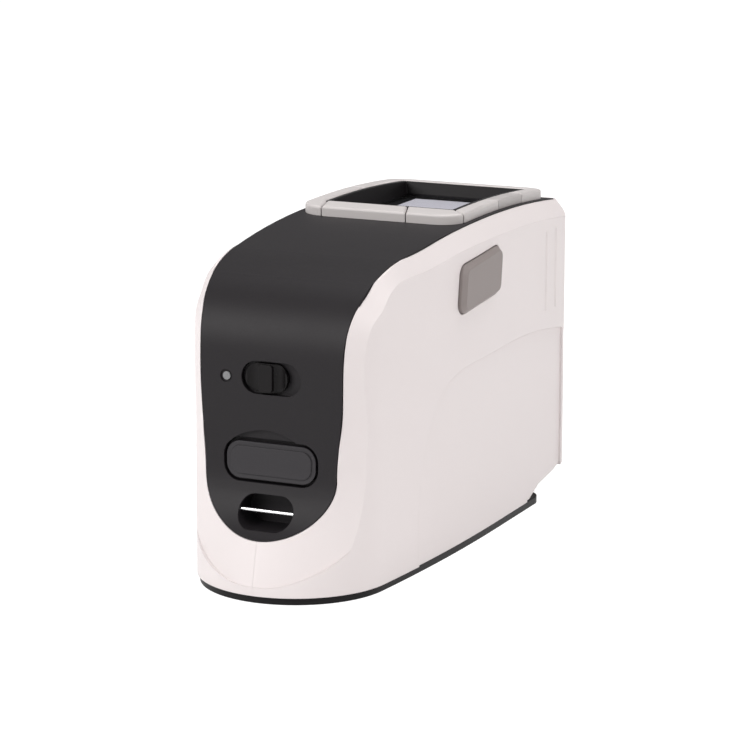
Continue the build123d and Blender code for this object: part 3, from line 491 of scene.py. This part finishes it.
class INSTRUMENT_OT_black_parts(bpy.types.Operator):
    """Finishes the black cover, base plate, bezel, slider and flap"""

    bl_idname = "instrument.black_parts"
    bl_label = "Black parts"

    def execute(self, context):
        look = context.scene.cover_finish
        edge = context.scene.shell_finish.edge
        black = moulded(
            "black_cover", look.colour, look.roughness,
            grain=look.grain, depth=look.grain_depth, mottle=0.08, edge=edge, specular=0.27,
        )
        plain = moulded(
            "black_plain", (0.005, 0.004, 0.0045), 0.45,
            grain=0.0008, depth=0.00001, mottle=0.06, edge=edge, specular=0.2,
        )
        soft = moulded(
            "port_rubber", (0.016, 0.0135, 0.017), 0.55,
            grain=0.0007, depth=0.00002, mottle=0.07, edge=0.0005,
        )
        coat(black, "front_cover")
        coat(soft, "port_cover")
        coat(plain, "base_plate", "display_bezel", "power_slider", "switch_body")
        coat(plain, "battery_tray", "lens_barrel", "key_switches", "test_switch")
        return {"FINISHED"}


class INSTRUMENT_OT_frame_and_keys(bpy.types.Operator):
    """Finishes the grey display frame, its two keys and the side button"""

    bl_idname = "instrument.frame_and_keys"
    bl_label = "Display frame, keys and button"

    def execute(self, context):
        look = context.scene.frame_finish
        trim = {
            "roughness": 0.46, "grain": 0.0007, "depth": 0.00001, "mottle": 0.03, "edge": 0.0003,
        }
        grey = moulded("frame_grey", look.colour, **trim)
        darker = moulded("frame_grey_dark", shade(look.colour, 0.8)[:3], **trim)
        button = moulded(
            "button_grey", look.button_colour, 0.5,
            grain=0.0006, depth=0.000012, mottle=0.03, edge=0.0005,
        )
        coat(grey, "frame_left", "frame_right_front", "frame_rear")
        coat(grey, "display_key_left", "display_key_right")
        coat(darker, "frame_right_middle")
        coat(button, "test_button")
        return {"FINISHED"}


class INSTRUMENT_OT_display(bpy.types.Operator):
    """Finishes the display module and its window"""

    bl_idname = "instrument.display"
    bl_label = "Display"

    def execute(self, context):
        low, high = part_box("display_module")
        near = low + Vector((0.0045, 0.004, 0))
        far = high - Vector((0.0045, 0.0008, 0))
        coat(display_finish(near, far), "display_module")
        coat(window_finish(), "display_window")
        return {"FINISHED"}


class INSTRUMENT_OT_metal_parts(bpy.types.Operator):
    """Finishes the strap bar, sockets, aperture ring, optics and electronics"""

    bl_idname = "instrument.metal_parts"
    bl_label = "Metal parts, optics and boards"

    def execute(self, context):
        bright = metal("plated_bar", (0.82, 0.82, 0.83), 0.16)
        steel = metal("socket_steel", (0.56, 0.56, 0.57), 0.28, 1.0)
        dark = metal("anodised_dark", (0.07, 0.07, 0.075), 0.38)
        cast = metal("cast_aluminium", (0.40, 0.40, 0.41), 0.42)
        ruled = metal("ruled_grating", (0.45, 0.55, 0.62), 0.12, 1.0)
        white = moulded(
            "sphere_white", (0.85, 0.85, 0.84), 0.65,
            grain=0.0008, depth=0.00001, mottle=0.02, edge=0.0003,
        )
        wrap = moulded(
            "battery_wrap", (0.03, 0.10, 0.33), 0.35,
            grain=0.001, depth=0.00002, mottle=0.05, edge=0.0006,
        )
        smoke = moulded(
            "lens_smoke", (0.22, 0.225, 0.23), 0.2,
            grain=0.001, depth=0.000004, mottle=0.02, edge=0.0003,
        )
        coat(bright, "strap_bar")
        coat(steel, "usb_socket", "dc_socket", "printer_socket")
        coat(dark, "aperture_ring")
        coat(cast, "optics_frame", "spectrometer_housing", "spectrometer_lid", "lamp_holder")
        coat(ruled, "grating")
        coat(white, "sphere_lower", "sphere_upper")
        coat(board_finish(), "main_board", "port_board", "test_board", "detector_board")
        coat(wrap, "battery_pack")
        coat(smoke, "status_lens")
        return {"FINISHED"}


class INSTRUMENT_OT_screws(bpy.types.Operator):
    """Builds the base screws on their places and finishes the other screws"""

    bl_idname = "instrument.screws"
    bl_label = "Screws"

    def execute(self, context):
        sizes = context.scene.fastener_sizes
        steel = metal("screw_steel", (0.50, 0.50, 0.51), 0.3)
        places = islands("base_screws")
        spots = [((low.x + high.x) / 2, (low.y + high.y) / 2, low.z) for low, high in places]
        length = places[0][1].z - places[0][0].z
        pattern = screw_mesh(sizes.head_radius, sizes.shank_radius, length, sizes.threads)
        mesh = scatter("base_screws", spots, pattern, steel, SCREW_SEED)
        settle("base_screw_set", mesh, BODY, steel, "base_screws")
        coat(steel, "board_screws", "optics_screws")
        return {"FINISHED"}


class INSTRUMENT_OT_stage(bpy.types.Operator):
    """Sets the floor, the soft studio light and the camera"""

    bl_idname = "instrument.stage"
    bl_label = "Studio"

    def execute(self, context):
        look = context.scene.studio_light
        scene = context.scene
        scene.view_settings.view_transform = "Standard"

        sheet = FinishSheet("studio_floor")
        path = sheet.node("ShaderNodeLightPath")
        seen = path.out("Is Camera Ray") + path.out("Is Glossy Ray")
        seen = seen + path.out("Is Transmission Ray")
        matte, dim = (
            sheet.node("ShaderNodeBsdfDiffuse", {}, {"Color": (grey, grey, grey, 1)})
            for grey in (BOUNCE_GREY, FLOOR_GREY)
        )
        glow = sheet.node(
            "ShaderNodeEmission", {}, {"Color": (1, 1, 1, 1), "Strength": FLOOR_GLOW}
        )
        both = sheet.node("ShaderNodeAddShader", {}, {0: dim, 1: glow})
        mixed = sheet.node("ShaderNodeMixShader", {}, {0: seen, 1: matte, 2: both})
        sheet.tree.links.new(mixed.socket, sheet.output.inputs["Surface"])
        shape = bmesh.new()
        bmesh.ops.create_grid(shape, x_segments=1, y_segments=1, size=FLOOR_SIZE)
        mesh = bpy.data.meshes.new("studio_floor")
        shape.to_mesh(mesh)
        shape.free()
        mesh.materials.append(sheet.material)
        floor = bpy.data.objects.new("studio_floor", mesh)
        scene.collection.objects.link(floor)

        world = bpy.data.worlds.new("studio_world")
        scene.world = world
        world.use_nodes = True
        tree = world.node_tree
        tree.nodes.clear()
        rays = tree.nodes.new("ShaderNodeLightPath")
        even, white = (tree.nodes.new("ShaderNodeBackground") for _ in range(2))
        even.inputs["Color"].default_value = (1.0, 0.985, 0.985, 1)
        even.inputs["Strength"].default_value = look.ambient
        white.inputs["Color"].default_value = (1, 1, 1, 1)
        pick = tree.nodes.new("ShaderNodeMixShader")
        end = tree.nodes.new("ShaderNodeOutputWorld")
        tree.links.new(rays.outputs["Is Camera Ray"], pick.inputs[0])
        tree.links.new(even.outputs[0], pick.inputs[1])
        tree.links.new(white.outputs[0], pick.inputs[2])
        tree.links.new(pick.outputs[0], end.inputs["Surface"])

        lamps = (
            ("key_lamp", (-0.75, -1.25, 0.85), look.key_power, 0.9, (1.0, 0.98, 0.975)),
            ("side_lamp", (1.35, -0.25, 0.75), look.side_power, 0.9, (1.0, 0.97, 0.965)),
            ("top_lamp", (0.05, 0.25, 1.5), look.top_power, 1.1, (1.0, 0.99, 0.99)),
        )
        middle = Vector((0, 0, 0.06))
        for name, place, power, size, colour in lamps:
            lamp = bpy.data.lights.new(name, "AREA")
            lamp.shape = "SQUARE"
            lamp.size = size
            lamp.energy = power
            lamp.color = colour
            holder = bpy.data.objects.new(name, lamp)
            holder.location = place
            holder.rotation_euler = (middle - Vector(place)).to_track_quat("-Z", "Y").to_euler()
            scene.collection.objects.link(holder)

        level = cos(CAMERA_RISE)
        away = Vector((sin(CAMERA_TURN) * level, -cos(CAMERA_TURN) * level, sin(CAMERA_RISE)))
        lens = bpy.data.cameras.new("studio_camera")
        lens.sensor_width = CAMERA_SENSOR
        lens.lens = CAMERA_LENS
        lens.clip_start = 0.05
        lens.clip_end = 50.0
        camera = bpy.data.objects.new("studio_camera", lens)
        camera.location = CAMERA_AIM + away * CAMERA_DISTANCE
        camera.rotation_euler = (-away).to_track_quat("-Z", "Y").to_euler()
        scene.collection.objects.link(camera)
        scene.camera = camera
        return {"FINISHED"}


STEPS = (
    INSTRUMENT_OT_shells,
    INSTRUMENT_OT_black_parts,
    INSTRUMENT_OT_frame_and_keys,
    INSTRUMENT_OT_display,
    INSTRUMENT_OT_metal_parts,
    INSTRUMENT_OT_screws,
    INSTRUMENT_OT_stage,
)
GROUPS = {
    "shell_finish": ShellFinish,
    "cover_finish": CoverFinish,
    "frame_finish": FrameFinish,
    "fastener_sizes": FastenerSizes,
    "studio_light": StudioLight,
}


class INSTRUMENT_PT_panel(bpy.types.Panel):
    """Lists the pieces and their settings"""

    bl_label = "Spectrophotometer"
    bl_space_type = "VIEW_3D"
    bl_region_type = "UI"
    bl_category = "Instrument"

    def draw(self, context):
        for step in STEPS:
            self.layout.operator(step.bl_idname)
        for name, group in GROUPS.items():
            box = self.layout.box()
            for key in group.__annotations__:
                box.prop(getattr(context.scene, name), key)


def register():
    for item in (*GROUPS.values(), *STEPS, INSTRUMENT_PT_panel):
        bpy.utils.register_class(item)
    for name, group in GROUPS.items():
        setattr(bpy.types.Scene, name, PointerProperty(type=group))


def unregister():
    for name in GROUPS:
        delattr(bpy.types.Scene, name)
    for item in reversed((*GROUPS.values(), *STEPS, INSTRUMENT_PT_panel)):
        bpy.utils.unregister_class(item)


def main():
    register()
    for step in STEPS:
        group, name = step.bl_idname.split(".")
        getattr(getattr(bpy.ops, group), name)()


if __name__ == "__main__":
    main()
